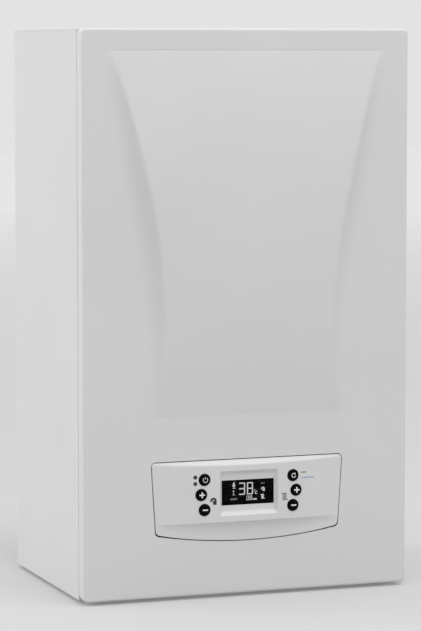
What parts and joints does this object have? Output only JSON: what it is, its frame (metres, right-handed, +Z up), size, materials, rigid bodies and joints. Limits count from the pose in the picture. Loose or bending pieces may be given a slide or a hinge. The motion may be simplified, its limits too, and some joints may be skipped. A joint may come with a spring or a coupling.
{
  "type": "combi boiler",
  "caption": "Wall-hung combi boiler: white steel casing with a raised shield on its cover, tilting control box with display and buttons, burner, fan, pump and exchangers.",
  "frame": {"origin": "midway between the two hanging slots, on the wall plane", "axes": "+X to the right seen from the front, +Y towards the wall, +Z up"},
  "size_m": [0.416, 0.2975, 0.68],
  "materials": {
    "white_paint": "satin powder coat",
    "galvanised_steel": "galvanised",
    "white_plastic": "fine satin",
    "black_plastic": "gloss",
    "grey_plastic": "moulded",
    "red_plastic": "moulded",
    "black_rubber": "matte",
    "display_glass": "clear",
    "display_black": "display",
    "circuit_board": "solder mask",
    "cast_aluminium": "as cast",
    "stainless_steel": "rolled",
    "brass": "forged",
    "copper": "drawn copper",
    "red_enamel": "enamel",
    "dark_paint": "cathodic paint",
    "white_ceramic": "glazed ceramic"
  },
  "bodies": {
    "chassis": {"air_silencer": "grey_plastic", "air_vent": "brass", "bottom_plate": "galvanised_steel", "burner_door": "cast_aluminium", "burner_tube": "stainless_steel", "chassis_fasteners": "galvanised_steel", "cold_water_pipe": "copper", "condensate_hose": "black_rubber", "condensate_trap": "grey_plastic", "control_box_brackets": "galvanised_steel", "cover_seal": "black_rubber", "expansion_vessel": "red_enamel", "fan_housing": "cast_aluminium", "fan_motor": "cast_aluminium", "flow_group": "brass", "flue_duct": "grey_plastic", "flue_socket": "grey_plastic", "front_rail": "white_paint", "gas_feed_tube": "copper", "gas_pipe": "copper", "gas_valve": "cast_aluminium", "heat_exchanger_casing": "stainless_steel", "heat_exchanger_coil": "stainless_steel", "heating_flow_pipe": "copper", "heating_return_pipe": "copper", "hot_water_pipe": "copper", "left_side_panel": "white_paint", "mains_cable_gland": "grey_plastic", "mixture_elbow": "cast_aluminium", "pipe_grommets": "black_rubber", "plate_heat_exchanger": "stainless_steel", "pump_body": "brass", "pump_motor": "dark_paint", "rear_frame": "galvanised_steel", "right_side_panel": "white_paint", "safety_valve": "brass", "spark_electrode": "white_ceramic", "support_crossbar": "galvanised_steel", "top_panel": "white_paint", "valve_actuator": "black_plastic", "venturi": "grey_plastic", "vessel_hose": "black_rubber"},
    "cover": {"front_cover": "white_paint"},
    "control_box": {"control_fascia": "white_plastic", "display_lens": "display_glass", "display_module": "display_black", "button_board": "circuit_board", "control_box_tray": "grey_plastic", "control_box_lid": "grey_plastic", "main_circuit_board": "circuit_board"},
    "power_button_body": {"power_button": "black_plastic"},
    "reset_button_body": {"reset_button": "black_plastic"},
    "hot_water_plus_button_body": {"hot_water_plus_button": "black_plastic"},
    "hot_water_minus_button_body": {"hot_water_minus_button": "black_plastic"},
    "heating_plus_button_body": {"heating_plus_button": "black_plastic"},
    "heating_minus_button_body": {"heating_minus_button": "black_plastic"},
    "fan_wheel_body": {"fan_wheel": "grey_plastic"},
    "pump_rotor_body": {"pump_rotor": "grey_plastic"},
    "safety_valve_knob_body": {"safety_valve_knob": "red_plastic"},
    "filling_tap_knob_body": {"filling_tap_knob": "black_plastic"}
  },
  "joints": [
    {"name": "cover_slide", "type": "slide", "parent": "chassis", "child": "cover", "axis": [0, -1, 0], "range_m": [0, 0.3]},
    {"name": "control_box_tilt", "type": "hinge", "parent": "chassis", "child": "control_box", "pos_m": [0, -0.266, -0.571], "axis": [1, 0, 0], "range_deg": [0, 70]},
    {"name": "power_button_press", "type": "slide", "parent": "control_box", "child": "power_button_body", "axis": [0, 1, 0], "range_m": [0, 0.001], "stiffness_N_per_m": 400, "springref_m": -0.0005},
    {"name": "reset_button_press", "type": "slide", "parent": "control_box", "child": "reset_button_body", "axis": [0, 1, 0], "range_m": [0, 0.001], "stiffness_N_per_m": 400, "springref_m": -0.0005},
    {"name": "hot_water_plus_button_press", "type": "slide", "parent": "control_box", "child": "hot_water_plus_button_body", "axis": [0, 1, 0], "range_m": [0, 0.001], "stiffness_N_per_m": 400, "springref_m": -0.0005},
    {"name": "hot_water_minus_button_press", "type": "slide", "parent": "control_box", "child": "hot_water_minus_button_body", "axis": [0, 1, 0], "range_m": [0, 0.001], "stiffness_N_per_m": 400, "springref_m": -0.0005},
    {"name": "heating_plus_button_press", "type": "slide", "parent": "control_box", "child": "heating_plus_button_body", "axis": [0, 1, 0], "range_m": [0, 0.001], "stiffness_N_per_m": 400, "springref_m": -0.0005},
    {"name": "heating_minus_button_press", "type": "slide", "parent": "control_box", "child": "heating_minus_button_body", "axis": [0, 1, 0], "range_m": [0, 0.001], "stiffness_N_per_m": 400, "springref_m": -0.0005},
    {"name": "fan_spin", "type": "hinge", "parent": "chassis", "child": "fan_wheel_body", "pos_m": [0.135, -0.23, -0.16], "axis": [0, 1, 0], "continuous": true},
    {"name": "pump_spin", "type": "hinge", "parent": "chassis", "child": "pump_rotor_body", "pos_m": [0.13, -0.13, -0.49], "axis": [0, 1, 0], "continuous": true},
    {"name": "safety_valve_turn", "type": "hinge", "parent": "chassis", "child": "safety_valve_knob_body", "pos_m": [0.178, -0.167, -0.522], "axis": [0, -1, 0], "range_deg": [0, 90]},
    {"name": "filling_tap_turn", "type": "hinge", "parent": "chassis", "child": "filling_tap_knob_body", "pos_m": [0.12, -0.205, -0.597], "axis": [0, 0, -1], "range_deg": [0, 90]}
  ],
  "couplings": [
    {"joint": "control_box_tilt", "follows": "cover_slide", "rad_per_m": 4.0724}
  ]
}
